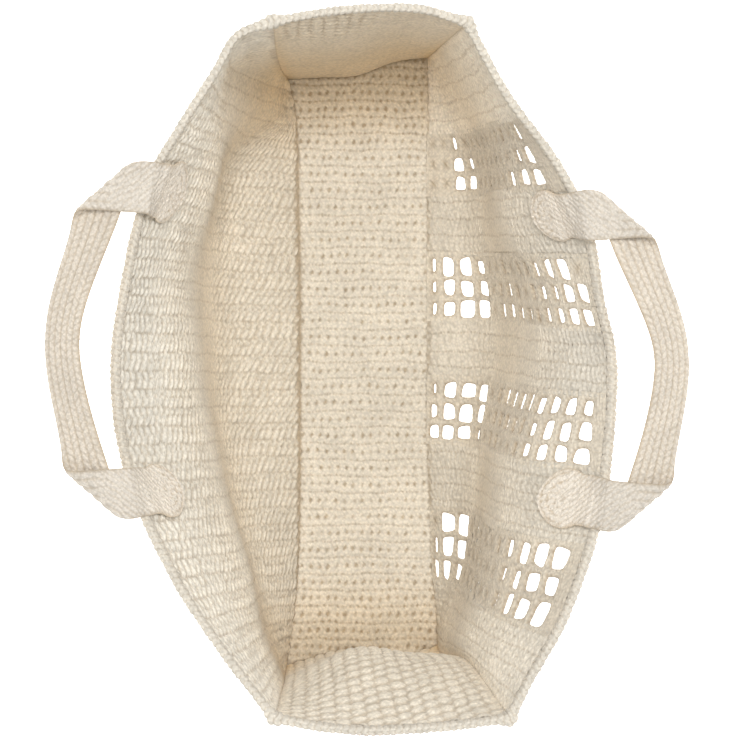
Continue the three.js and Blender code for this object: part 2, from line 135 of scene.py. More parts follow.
def on_curve(points, knots, at):
    """Places on the smooth curve through points, shared (n, d) or one curve for each place (m, n, d)."""
    last = len(knots) - 1
    first = 2 * points[..., :1, :] - points[..., 1:2, :]
    end = 2 * points[..., -1:, :] - points[..., -2:-1, :]
    points = np.concatenate([first, points, end], axis=-2)
    i = np.clip(np.searchsorted(knots, at, side="right") - 1, 0, last - 1)
    t = (at - knots[i]) / (knots[i + 1] - knots[i])
    weights = [-t + 2 * t**2 - t**3, 2 - 5 * t**2 + 3 * t**3, t + 4 * t**2 - 3 * t**3, t**3 - t**2]
    total = 0
    for k, weight in enumerate(weights):
        chosen = points[i + k] if points.ndim == 2 else points[np.arange(len(at)), i + k]
        total = total + chosen * weight[:, None] / 2
    return total


def long_panel(sections, levels, side, draw):
    table = np.array(sections, float)
    at = table[:, 0]

    def place(out, high):
        foot_x = at * BASE_LENGTH / 2 - side * BASE_SKEW / 2
        rim_x = at * MOUTH_LENGTH / 2 + MOUTH_SHIFT
        return np.stack([lerp(foot_x, rim_x, high), side * out * MOUTH_REACH, high * RIM_HEIGHT], axis=1)

    foot = place(table[:, 1], 0 * at)
    foot[:, 2] = WALL / 2
    waist = place(table[:, 4], table[:, 5])
    waist[:, 0] += draw * np.maximum(0, -at) ** DRAW_FADE
    lines = np.stack([foot, place(table[:, 2], table[:, 3]), waist, place(table[:, 6], table[:, 7])], axis=1)

    def surface(u, v):
        profile = on_curve(lines.reshape(len(at), -1), at, u).reshape(-1, 4, 3)
        return on_curve(profile, levels, v)

    return surface


def end_panel(bulges, side):
    table = np.array(bulges, float)

    def surface(u, v):
        across = on_curve(table[:, 1:], table[:, 0], u)[:, :, None]
        bulge = on_curve(across, END_LEVELS, v)[:, 0]
        ends = side * np.ones_like(u)
        seam = lerp(back(ends, v), front(ends, v), u[:, None])
        seam[:, 0] += side * bulge * BASE_LENGTH
        return seam

    return surface


back = long_panel(BACK, BACK_LEVELS, 1, CORNER_DRAW["back"])
front = long_panel(FRONT, FRONT_LEVELS, -1, CORNER_DRAW["front"])
right = end_panel(RIGHT, 1)
left = end_panel(LEFT, -1)


def frame_at(surface, u, v, turn):
    tangent = unit(surface(u + NEARBY, v) - surface(u - NEARBY, v))
    rise = unit(surface(u, np.minimum(1, v + NEARBY)) - surface(u, np.maximum(0, v - NEARBY)))
    return tangent, rise, unit(turn * np.cross(tangent, rise))


def mitre(side, end, v):
    """From a corner seam to the corner where the outer faces of its two panels meet."""
    one = np.ones_like(v)
    long_out = frame_at(back if side > 0 else front, end * (1 - BESIDE_SEAM) * one, v, -side)[2]
    near = BESIDE_SEAM if side > 0 else 1 - BESIDE_SEAM
    end_out = frame_at(right if end > 0 else left, near * one, v, -end)[2]
    return (long_out + end_out) * (WALL / 2 / (1 + (long_out * end_out).sum(axis=1)))[:, None]


# Meshes from arrays
def grid_faces(columns, rows, first=0, flip=False):
    """Quads over a grid whose point (column i, row j) has the number first + j * columns + i."""
    corner = (np.arange(rows - 1)[:, None] * columns + np.arange(columns - 1)[None, :]).ravel() + first
    quads = np.stack([corner, corner + 1, corner + columns + 1, corner + columns], axis=1)
    return quads[:, ::-1] if flip else quads


def zipped(a, at_a, b, at_b):
    """Triangles between two open lines of points, each with its places along the line."""
    faces = []
    i = j = 0
    while i < len(a) - 1 or j < len(b) - 1:
        if j == len(b) - 1 or (i < len(a) - 1 and at_a[i + 1] <= at_b[j + 1]):
            faces.append((a[i], b[j], a[i + 1]))
            i += 1
        else:
            faces.append((a[i], b[j], b[j + 1]))
            j += 1
    return np.array(faces)


def mesh_piece(name, points, faces, uv, pit_shade, material, node, light_and_shade_tone=0.0, painted_light_level=1.0):
    """A piece from points in millimetres, with faces as arrays of quads and triangles."""
    mesh = bpy.data.meshes.new(name)
    mesh.vertices.add(len(points))
    mesh.vertices.foreach_set("co", (points * MM).astype(np.float32).ravel())
    corners = np.concatenate([f.ravel() for f in faces])
    sizes = np.concatenate([np.full(len(f), f.shape[1]) for f in faces])
    mesh.loops.add(len(corners))
    mesh.loops.foreach_set("vertex_index", corners.astype(np.int32))
    mesh.polygons.add(len(sizes))
    mesh.polygons.foreach_set("loop_start", (np.cumsum(sizes) - sizes).astype(np.int32))
    mesh.update(calc_edges=True)
    layer = mesh.uv_layers.new(name="cloth")
    layer.data.foreach_set("uv", uv[corners].astype(np.float32).ravel())
    # pit is painted shade in the hollows, tone a painted brown shade or pale light, wash a painted brightness
    for title, values in (("pit_shade", pit_shade), ("light_and_shade_tone", light_and_shade_tone), ("painted_light_level", painted_light_level)):
        attribute = mesh.attributes.new(title, "FLOAT", "POINT")
        attribute.data.foreach_set("value", (values + np.zeros(len(points))).astype(np.float32))
    mesh.polygons.foreach_set("use_smooth", np.ones(len(sizes), bool))
    mesh.materials.append(material)
    piece = bpy.data.objects.new(name, mesh)
    bpy.context.collection.objects.link(piece)
    outward(piece)
    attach(piece, "root")
    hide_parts(node)


def outward(piece):
    """Turns a closed mesh so that its faces point outwards."""
    mesh = piece.data
    mesh.calc_loop_triangles()
    triangles = np.empty(3 * len(mesh.loop_triangles), np.int32)
    mesh.loop_triangles.foreach_get("vertices", triangles)
    points = np.empty(3 * len(mesh.vertices), np.float32)
    mesh.vertices.foreach_get("co", points)
    a, b, c = (points.reshape(-1, 3).astype(float)[triangles[k::3]] for k in range(3))
    if (a * np.cross(b, c)).sum() < 0:
        mesh.flip_normals()


LONG_ROWS = 36
LONG_STITCHES = 41
END_ROWS = 15
END_STITCHES = 36

# Crochet relief: each pattern takes places across the rows and along them and gives a height from 0 to 1
rng = np.random.default_rng(7)
CHANCE = rng.random((8, 97, 131))


def chance(kind, row, stitch):
    return CHANCE[kind % 8, np.int64(row) % 97, np.int64(stitch) % 131]


def grains(row, along, centre, half, lean, width, kind):
    """Slanted rounded grains, one for each stitch, in a band of every row."""
    number = np.floor(row)
    p = (row - number - centre) / half
    q = along + lean * p + 0.6 * chance(kind, number, 0)
    stitch = np.floor(q)
    g = q - stitch - 0.5 + 0.2 * (chance(kind + 1, number, stitch) - 0.5)
    wide = width * (0.85 + 0.3 * chance(kind + 3, number, stitch))
    body = np.clip(1 - np.abs(p) ** 3, 0, 1) ** 0.7 * np.cos(np.clip(g / wide, -1, 1) * math.pi / 2) ** 1.3
    return body * (0.7 + 0.4 * chance(kind + 2, number, stitch))


def pits(row, along, centre, across, length, kind):
    """Round pits, one for each stitch, at one place of every row."""
    number = np.floor(row - centre + 0.5)
    q = along + 0.6 * chance(kind, number, 0)
    stitch = np.floor(q)
    g = q - stitch - 0.5 + 0.22 * (chance(kind + 1, number, stitch) - 0.5)
    p = row - centre - number + 0.06 * (chance(kind + 2, number, stitch) - 0.5)
    return np.exp(-((g / length) ** 2) - (p / across) ** 2) * (0.3 + 0.7 * chance(kind + 3, number, stitch))


def groove(row, width):
    return np.exp(-(((row - np.round(row)) / width) ** 2))


def wander(row, along):
    """Rows and stitches made by hand, which don't run quite straight."""
    across = 0.05 * np.sin(along * 0.55 + 2.3 * np.sin(row * 0.7)) + 0.03 * np.sin(along * 1.7 + row)
    on = 0.12 * np.sin(row * 1.9 + 0.4 * along) + 0.1 * np.sin(row * 0.63)
    return row + across, along + on


def wall_relief(row, along):
    """The back wall: tall slanted stitches, taut and smooth at the waist, smaller stitches near the rim."""
    v = along / LONG_STITCHES
    taut = 0.75 * ease((v - 0.3) / 0.1) * ease((0.68 - v) / 0.12)
    near_rim = ease((v - 0.76) / 0.16)
    posts = grains(row, along, 0.31, 0.3, 0.4, 0.4, 0)
    upper = grains(row, along * 1.03 + 0.3, 0.74, 0.13, 0.25, 0.4, 3)
    lower = grains(row, along * 0.98 + 0.1, 0.91, 0.11, -0.2, 0.4, 5)
    tall = 0.3 + 0.7 * np.maximum(posts, 0.7 * np.maximum(upper, lower))
    first = grains(row, along * 0.86, 0.25, 0.24, 0.25, 0.42, 2)
    second = grains(row, along * 0.86 + 0.5, 0.74, 0.24, -0.15, 0.42, 4)
    body = lerp(tall, 0.3 + 0.7 * np.maximum(first, second), near_rim)
    body = lerp(body, 0.78 + 0.12 * np.cos(2 * math.pi * row * 4), taut)
    between = 0.35 * (1 - taut) * pits(row, along, 0.63, 0.07, 0.2, 2)
    return body - groove(row, 0.08) * (0.12 + 0.15 * taut) - between


def front_relief(row, along):
    """The front wall: small stitches, taut and smooth at the waist."""
    v = along / LONG_STITCHES
    taut = 0.85 * ease((v - 0.26) / 0.1) * ease((0.72 - v) / 0.14)
    first = grains(row, along * 1.15, 0.25, 0.24, 0.3, 0.42, 2)
    second = grains(row, along * 1.15 + 0.5, 0.74, 0.24, -0.2, 0.42, 4)
    body = 0.52 + 0.48 * np.maximum(first, second)
    body = lerp(body, 0.78 + 0.12 * np.cos(2 * math.pi * row * 4), taut)
    between = (0.2 + 0.3 * ease((v - 0.62) / 0.15)) * (1 - taut) * pits(row, along, 0.5, 0.09, 0.2, 2)
    return body - groove(row, 0.08) * (0.08 + 0.15 * taut) - between


def base_relief(row, along):
    """The base: two rows of small stitches to a row, with pits between them that are deepest at the ends."""
    low = grains(row, along * 2, 0.23, 0.2, 0.5, 0.42, 1)
    high = grains(row, along * 2 + 0.5, 0.77, 0.2, -0.5, 0.42, 4)
    body = 0.5 + 0.5 * np.maximum(low, high)
    deep = pits(row, along + 0.5 * (row % 1 - 0.5), 0.5, 0.15, 0.17, 2)
    dots = pits(row, along * 1.3, 0.02, 0.1, 0.2, 5)
    worn = ease((np.abs(row) - 11) / 5)
    return body - (0.95 + 0.4 * worn) * deep - (0.45 + 0.5 * worn) * dots - 0.08 * groove(row, 0.07)


def left_relief(row, along):
    """The end wall at -X: columns of lens-shaped stitches, laid as bricks."""
    number = np.floor(row)
    p = (row - number - 0.5) * 2
    q = along + 0.5 * (number % 2) + 0.2 * chance(3, number, 0)
    stitch = np.floor(q)
    g = q - stitch - 0.5 + 0.16 * (chance(4, number, stitch) - 0.5) + 0.12 * p
    wide = (0.5 - 0.26 * p**2) * (0.85 + 0.3 * chance(5, number, stitch))
    lens = np.cos(np.clip(g / wide, -1, 1) * math.pi / 2) * np.sqrt(np.clip(1.02 - p**2, 0, 1))
    return 0.24 + 0.76 * lens * (0.75 + 0.35 * chance(6, number, stitch))


def right_relief(row, along):
    """The end wall at +X: smooth, with stitches showing near the rim."""
    v = along / END_STITCHES
    u = row / END_ROWS
    corner = ease((v - 0.72) / 0.2) * ease((0.62 - u) / 0.25)
    grainy = np.clip(0.15 + corner + 0.4 * ease((v - 0.86) / 0.1), 0, 1)
    return lerp(0.72, left_relief(row, along), grainy)


def slack(row, along):
    """Soft unevenness of the cloth, in millimetres."""
    return 0.5 * np.sin(row * 0.9 + 1.1 * np.sin(along * 0.21)) + 0.4 * np.sin(along * 0.37 + row * 0.31)


RELIEF = 2.4
# How far the highest stitches stand over the model's wall
PEAK = 0.6
# The height at which the cloth has the model's thickness
AT_SEAM = 1 - PEAK / RELIEF
# Reach of what changes beside a corner seam and at the foot, in millimetres
SEAM_GROOVE = 3
SEAM_SHADOW = 7
SEAM_DRAW = 14
SEAM_HOLD = 20
FOOT_GROOVE = 3.8
WALL_RISE = 280
FAR_FROM_SEAMS = 99.0


def lift(relief):
    """Distance from the middle surface to the face of the cloth."""
    return WALL / 2 + PEAK - RELIEF * (1 - np.clip(relief, 0, 1))


def spread(surface, turn, us, vs, ends, seams, sheet, relief, place, foot_groove):
    """One face of a panel over a grid: points, heights, u, v, places in the cloth, distances to the seams."""
    v, u = (a.ravel() for a in np.meshgrid(vs, us, indexing="ij"))
    inside = np.clip(u, ends[0] + BESIDE_SEAM, ends[1] - BESIDE_SEAM)
    out = frame_at(surface, inside, v, turn)[2]
    middle = surface(u, v)
    at_foot = foot_groove * np.exp(-((v * WALL_RISE / FOOT_GROOVE) ** 2))
    even = place(u, v)
    row, along = wander(*even)
    height = relief(row, along) * (1 - 0.5 * at_foot)
    corners = [(edge, seam) for edge, seam in zip(ends, seams) if seam]
    away = []
    for edge, _ in corners:
        on_seam = surface(np.full(len(vs), edge), vs)
        away.append(np.linalg.norm(middle.reshape(len(vs), -1, 3) - on_seam[:, None], axis=2).ravel())
    nearest = np.min(away, axis=0) if away else np.full(len(u), FAR_FROM_SEAMS)
    height = lerp(height, AT_SEAM, np.exp(-((nearest / SEAM_GROOVE) ** 2)))
    loose = slack(*even) * np.sin(math.pi * np.clip(v, 0, 1)) * ease(nearest / SEAM_HOLD)
    points = middle + out * (sheet * lift(height) + loose)[:, None]
    for (edge, seam), far in zip(corners, away):
        corner = mitre(*seam, vs)
        seam_out = frame_at(surface, np.full(len(vs), np.clip(edge, *inside[[0, -1]])), vs, turn)[2]
        sideways = corner - seam_out * (corner * seam_out).sum(axis=1, keepdims=True)
        fade = (np.clip(1 - far / SEAM_DRAW, 0, 1) ** 2).reshape(len(vs), -1, 1)
        points = points + (sheet * sideways[:, None] * fade).reshape(-1, 3)
    # The height handed on for the pit value is lowered along the foot, which paints a dark line of shade
    # along the seam there
    return points, np.clip(height - 0.8 * at_foot, 0, 1), u, v, np.stack([row, along], axis=1), nearest


def closed_piece(name, node, material, sheets):
    """Two sheets of cloth joined along their edges.

    Each sheet has its points, places in the cloth, pit values of painted shade, tones and washes of painted
    light and shade, places along its two sides, and whether its faces are turned round.
    """
    faces, edges = [], []
    first = 0
    for *_, us, vs, turned in sheets:
        columns, rows = len(us), len(vs)
        faces.append(grid_faces(columns, rows, first, flip=turned))
        number = first + np.arange(columns * rows).reshape(rows, columns)
        edges.append([(number[0], us), (number[:, -1], vs), (number[-1], us), (number[:, 0], vs)])
        first += columns * rows
    for k, ((a, at_a), (b, at_b)) in enumerate(zip(*edges)):
        strip = zipped(a, at_a, b, at_b)
        faces.append(strip[:, ::-1] if (k in (1, 2)) == sheets[0][-1] else strip)
    points, cloth, pit_shade, light_and_shade_tone, painted_light_level = (np.concatenate(part) for part in list(zip(*sheets))[:5])
    mesh_piece(name, points, faces, cloth, pit_shade, material, node, light_and_shade_tone, painted_light_level)


OUTSIDE_WASH = 0.87


def slab_piece(name, node, surface, turn, inner, outer, ends, seams, relief, place, light_and_shade_tone, material,
               foot_groove=1.0):
    """A closed panel with a fine inner face and a plainer outer one. inner and outer are (us, vs)."""
    sheets = []
    for sheet, (us, vs) in ((-1, inner), (1, outer)):
        points, height, u, v, cloth, nearest = spread(
            surface, turn, us, vs, ends, seams, sheet, relief, place, foot_groove)
        # Painted brown shade beside the corner seams goes into the inner face's tone; the outer face gets no
        # painted tone and a fixed wash
        seam_shade = 0.7 * np.exp(-((nearest / SEAM_SHADOW) ** 2)) * (1 - 0.6 * v)
        light_and_shade_warmth, painted_light_level = light_and_shade_tone(u, v)
        light_and_shade_warmth = (light_and_shade_warmth + seam_shade) * (1 if sheet < 0 else 0)
        painted_light_level = painted_light_level if sheet < 0 else OUTSIDE_WASH + 0 * painted_light_level
        sheets.append((points, cloth, 1 - height, light_and_shade_warmth, painted_light_level, us, vs, sheet < 0))
    closed_piece(name, node, material, sheets)


# Painted light and shade: tones from -1, a painted pale light, to 1 and over, the painted brown shade of the
# deep corners and creases. Each comes with a wash, a painted brightness by which the colour is multiplied.
def back_light_and_shade(u, v):
    # Painted brown shade in the deep end corners and in a band across the middle of the wall, painted pale
    # light near the rim; the wash paints shade across the waist and at the middle of the rim, and light high
    # up at both ends
    deep = np.where(u > 0, 1.15, 0.7) * ease((np.abs(u) - 0.66) / 0.3) * (1 - ease((v - 0.2) / 0.6))
    crease = 0.65 * np.exp(-(((v - 0.42) / 0.13) ** 2))
    painted_light = 0.3 * ease((v - 0.62) / 0.25)
    painted_light_level = 1.03 - 0.09 * np.exp(-(((v - 0.52) / 0.13) ** 2))
    painted_light_level = painted_light_level - 0.1 * ease((v - 0.75) / 0.15) * (1 - ease((np.abs(u) - 0.25) / 0.3))
    painted_light_level = painted_light_level + 0.1 * ease((np.abs(u) - 0.35) / 0.3) * ease((v - 0.5) / 0.2)
    return deep + crease - painted_light, painted_light_level


def front_light_and_shade(u, v):
    # Painted brown shade in the deep end corners by the foot and in a band across the wall, painted pale
    # light near the rim; the wash paints shade at the foot, across the middle and at the middle of the rim,
    # and light on the facets near both ends
    deep = 0.6 * ease((np.abs(u) - 0.7) / 0.3) * (1 - ease((v - 0.1) / 0.3))
    crease = 0.3 * np.exp(-(((v - 0.4) / 0.14) ** 2))
    painted_light_level = 1 - 0.1 * (1 - ease((v - 0.15) / 0.15)) - 0.05 * np.exp(-(((v - 0.45) / 0.15) ** 2))
    painted_light_level = painted_light_level - 0.16 * ease((v - 0.68) / 0.15) * (1 - ease((np.abs(u) - 0.3) / 0.35))
    painted_light_level = painted_light_level + 0.23 * ease((u - 0.6) / 0.2) + 0.08 * ease((-u - 0.75) / 0.15)
    return deep + crease - 0.1 * ease((v - 0.7) / 0.2), painted_light_level


def right_light_and_shade(u, v):
    # Painted brown shade over the whole wall, strongest low down, with a wash that lightens it a little, more
    # so high up
    return 1.3 - 0.85 * ease((v - 0.3) / 0.6), 1.03 + 0.04 * ease((v - 0.5) / 0.4)


def left_light_and_shade(u, v):
    # Painted brown shade low on the wall, strongest towards its two corners, with a wash that lightens it a
    # little
    corner = ease((np.abs(2 * u - 1) - 0.6) / 0.4)
    return (0.4 + 0.8 * corner) * (1 - ease((v - 0.02) / 0.45)), 1.05 + 0 * v


# Materials
def yarn(name, light, dark, ply_scale, row_shade_strength, speckle=1.0, speckle_scale=400):
    """Undyed cotton yarn: plies, strands and fuzz in the bump, painted shade in the pits and along the rows,
    painted highlights on the strands, and painted light and shade from the tone and wash.
    """
    material = bpy.data.materials.new(name)
    material.use_nodes = True
    nodes, links = material.node_tree.nodes, material.node_tree.links
    shader = nodes["Principled BSDF"]
    shader.inputs["Roughness"].default_value = 0.9
    shader.inputs["Sheen Weight"].default_value = 0.25
    shader.inputs["Sheen Roughness"].default_value = 0.5
    shader.inputs["Specular IOR Level"].default_value = 0.2

    def add(kind, **settings):
        node = nodes.new(kind)
        for key, value in settings.items():
            title = key.replace("_", " ")
            if title in node.inputs:
                node.inputs[title].default_value = value
            else:
                setattr(node, key, value)
        return node

    def noise(at, scale, detail):
        node = add("ShaderNodeTexNoise", Scale=scale, Detail=detail)
        links.new(at, node.inputs["Vector"])
        return node.outputs["Fac"]

    def ranged(value, low, high, to_low, to_high, curve="LINEAR"):
        node = add("ShaderNodeMapRange", interpolation_type=curve, From_Min=low, From_Max=high, To_Min=to_low,
                   To_Max=to_high)
        links.new(value, node.inputs["Value"])
        return node.outputs["Result"]

    def product(a, b):
        node = add("ShaderNodeMath", operation="MULTIPLY")
        links.new(a, node.inputs[0])
        if isinstance(b, float):
            node.inputs[1].default_value = b
        else:
            links.new(b, node.inputs[1])
        return node.outputs[0]

    def bumped(height, strength, distance, under=None, invert=False):
        node = add("ShaderNodeBump", invert=invert, Strength=strength, Distance=distance)
        links.new(height, node.inputs["Height"])
        if under:
            links.new(under, node.inputs["Normal"])
        return node.outputs["Normal"]

    places = add("ShaderNodeTexCoord").outputs["Object"]
    cloth = add("ShaderNodeUVMap", uv_map="cloth").outputs["UV"]
    pit_shade, light_and_shade_tone, painted_light_level = (add("ShaderNodeAttribute", attribute_name=title).outputs["Fac"]
                       for title in ("pit_shade", "light_and_shade_tone", "painted_light_level"))
    plies = add("ShaderNodeTexWave", wave_type="BANDS", bands_direction="DIAGONAL", wave_profile="SIN",
                Scale=ply_scale, Distortion=2.2, Detail=2, Detail_Scale=1.6)
    links.new(cloth, plies.inputs["Vector"])
    strands = add("ShaderNodeTexVoronoi", feature="SMOOTH_F1", Scale=speckle_scale, Smoothness=0.4)
    links.new(places, strands.inputs["Vector"])

    # Dashed lines of painted shade between the rows, which lie at the whole numbers of the cloth's X
    parted = add("ShaderNodeSeparateXYZ")
    links.new(cloth, parted.inputs[0])
    from_line = add("ShaderNodeMath", operation="PINGPONG")
    from_line.inputs[1].default_value = 0.5
    links.new(parted.outputs["X"], from_line.inputs[0])
    line = ranged(from_line.outputs[0], 0.025, 0.1, 1, 0, "SMOOTHSTEP")
    stretched = add("ShaderNodeVectorMath", operation="MULTIPLY")
    stretched.inputs[1].default_value = (1, 2.6, 1)
    links.new(cloth, stretched.inputs[0])
    dash = ranged(noise(stretched.outputs[0], 1, 1), 0.4, 0.6, 0.05, 0.85)
    row_shade = product(product(line, dash), row_shade_strength)

    # Yarn colour: painted shade in the pits and the lines, clouded, with painted highlights and random tone
    # from the strands, painted light and shade by the wash, and painted brown shade or pale light by the tone
    painted_shade = add("ShaderNodeMath", operation="MAXIMUM")
    links.new(ranged(pit_shade, 0.42, 1, 0, 0.85), painted_shade.inputs[0])
    links.new(row_shade, painted_shade.inputs[1])
    shade = add("ShaderNodeMix", data_type="RGBA")
    shade.inputs[6].default_value = (*light, 1)
    shade.inputs[7].default_value = (*dark, 1)
    links.new(painted_shade.outputs[0], shade.inputs[0])
    clouds = ranged(noise(places, 38, 3), 0.3, 0.7, 0.93, 1.04)
    # Painted highlights and random tone on the strands
    strand_tone_and_glints = ranged(strands.outputs["Distance"], 0.1, 0.75, 1 + 0.08 * speckle, 1 - 0.18 * speckle)
    tinted = add("ShaderNodeVectorMath", operation="SCALE")
    links.new(shade.outputs[2], tinted.inputs[0])
    links.new(product(product(clouds, painted_light_level), strand_tone_and_glints), tinted.inputs["Scale"])
    warmer = add("ShaderNodeVectorMath", operation="MULTIPLY_ADD")
    warmer.inputs[1].default_value = (-0.05, -0.14, -0.27)
    warmer.inputs[2].default_value = (1, 1, 1)
    links.new(light_and_shade_tone, warmer.inputs[0])
    warmed = add("ShaderNodeVectorMath", operation="MULTIPLY")
    links.new(tinted.outputs[0], warmed.inputs[0])
    links.new(warmer.outputs[0], warmed.inputs[1])
    links.new(warmed.outputs[0], shader.inputs["Base Color"])

    plies_up = bumped(plies.outputs["Fac"], 0.35, 0.0004)
    strands_up = bumped(strands.outputs["Distance"], 0.6 * speckle, 0.0012, plies_up, invert=True)
    fuzz_up = bumped(noise(places, 1100, 4), 0.6, 0.0005, strands_up)
    links.new(fuzz_up, shader.inputs["Normal"])
    return material


CREAM = (0.85, 0.78, 0.66)
# The colour of painted shade in the pits and the row lines
SHADE = (0.46, 0.36, 0.24)
cloth_yarn = yarn("cotton cloth", CREAM, SHADE, 1.6, 0.6)
end_yarn = yarn("cotton ends", CREAM, SHADE, 1.6, 0.5)
smooth_yarn = yarn("cotton of the smooth end", CREAM, SHADE, 1.6, 0.12)
# The edging is a darker copy of the cream, painted shade against the light falling on its upturned roll
edge_yarn = yarn("cotton edging", (0.74, 0.685, 0.59), SHADE, 1.6, 0.1)
strap_yarn = yarn("cotton strap", (0.745, 0.67, 0.57), SHADE, 1.4, 0.15, 0.9, 560)


# The four walls. The rows run up the cloth: places across the rows come from u, and those along them from v.
def long_place(u, v):
    return (u + 1) / 2 * LONG_ROWS, v * LONG_STITCHES


def end_place(u, v):
    return u * END_ROWS, v * END_STITCHES


def spaced(low, high, count):
    return np.linspace(low, high, count + 1)


# Points of the mesh to a row and to a stitch
FINE = (7, 6)
PLAIN = (6, 4)


def wall_grid(low, high, rows, stitches, points):
    return spaced(low, high, round(rows * points[0])), spaced(0, 1, stitches * points[1])


back_grids = [wall_grid(-1, 1, LONG_ROWS, LONG_STITCHES, points) for points in (FINE, PLAIN)]
slab_piece("back_cloth", "back_panel", back, -1, *back_grids, (-1, 1), ((1, -1), (1, 1)),
           wall_relief, long_place, back_light_and_shade, cloth_yarn)

end_grids = [wall_grid(0, 1, END_ROWS, END_STITCHES, points) for points in (FINE, PLAIN)]
slab_piece("end_cloth_right", "end_panel_right", right, -1, *end_grids, (0, 1), ((1, 1), (-1, 1)),
           right_relief, end_place, right_light_and_shade, smooth_yarn)
slab_piece("end_cloth_left", "end_panel_left", left, 1, *end_grids, (0, 1), ((1, -1), (-1, -1)),
           left_relief, end_place, left_light_and_shade, end_yarn)

# The front wall: strips of cloth between bands of open mesh.
# For each band: its middle, the pitch of its gaps along the rim, the places of its gaps up the cloth, and the
# openness of the gaps in each of its three columns, from 0, shut, to 9.
BANDS = [
    (-154.7, 18.8, (0.012, 0.1, 0.2, 0.29, 0.37, 0.45, 0.53, 0.61, 0.69, 0.756, 0.805, 0.862, 0.93),
     ("8750000001699", "4990000002699", "0990000024899")),
    (-47.2, 16.3, (0.028, 0.082, 0.155, 0.228, 0.31, 0.39, 0.468, 0.54, 0.62, 0.69, 0.75, 0.805, 0.865,
                   0.932),
     ("89940340045789", "59980355434669", "28990366667887")),
    (50.9, 17.2, (0.022, 0.072, 0.137, 0.197, 0.267, 0.337, 0.424, 0.519, 0.594, 0.678, 0.746, 0.801,
                  0.87, 0.94),
     ("39980564444588", "38870342044389", "39940010124880")),
    (149.4, 16, (0.03, 0.075, 0.135, 0.198, 0.27, 0.35, 0.43, 0.51, 0.59, 0.67, 0.748, 0.815, 0.887),
     ("0097000000479", "0093000000048", "0030000002307")),
]
steps = spaced(0, 1, 20)
CLOTH_HEIGHT = np.linalg.norm(np.diff(front(0 * steps, steps), axis=0), axis=1).sum()
HALF_MOUTH = MOUTH_LENGTH / 2
strip_ends = [-1]
for middle, pitch, _, _ in BANDS:
    half = HOLES_ACROSS * pitch / 2 + BAR_WIDTH / 2
    strip_ends += [(middle - half) / HALF_MOUTH, (middle + half) / HALF_MOUTH]
strip_ends.append(1)
# The cloth reaches under the outer bars of the mesh beside it
overlap = (BAR_WIDTH / 2 + 0.8) / HALF_MOUTH


def front_strip(name, low, high, seams):
    rows = (high - low) / 2 * LONG_ROWS
    grids = [wall_grid(low, high, rows, LONG_STITCHES, points) for points in (FINE, PLAIN)]
    slab_piece(name, "front_panel", front, 1, *grids, (low, high), seams, front_relief, long_place,
               front_light_and_shade, cloth_yarn, 0.4)


for k in range(BAND_COUNT + 1):
    low = strip_ends[2 * k] - (overlap if k else 0)
    high = strip_ends[2 * k + 1] + (overlap if k < BAND_COUNT else 0)
    seams = ((-1, -1) if k == 0 else None, (-1, 1) if k == BAND_COUNT else None)
    front_strip(f"front_cloth_{k + 1}", low, high, seams)


def soft_square(side):
    """Places round a square from corner to corner, and the same places round a square with soft corners."""
    places = []
    for k in range(4 * side):
        t = k % side / side * 2 - 1
        places.append([(t, -1), (1, t), (-t, 1), (-1, -t)][k // side])
    square = np.array(places, float)
    return square, square * (np.abs(square) ** 3.6).sum(axis=1)[:, None] ** (-1 / 3.6)


def pulled(hole, number, i, j):
    """The gap pulled out of true at its four corners."""
    total = 0
    for k, (a, b) in enumerate(((-1, -1), (1, -1), (1, 1), (-1, 1))):
        weight = (1 + a * hole[:, 0]) * (1 + b * hole[:, 1]) / 4
        pull = np.array([chance(number + k, i, j), chance(number + k + 3, i + 5, j + 7)]) - 0.5
        total = total + weight[:, None] * pull * 0.62
    return hole + total


GAP_LAYERS = 5
POINTS_TO_A_SIDE = 7


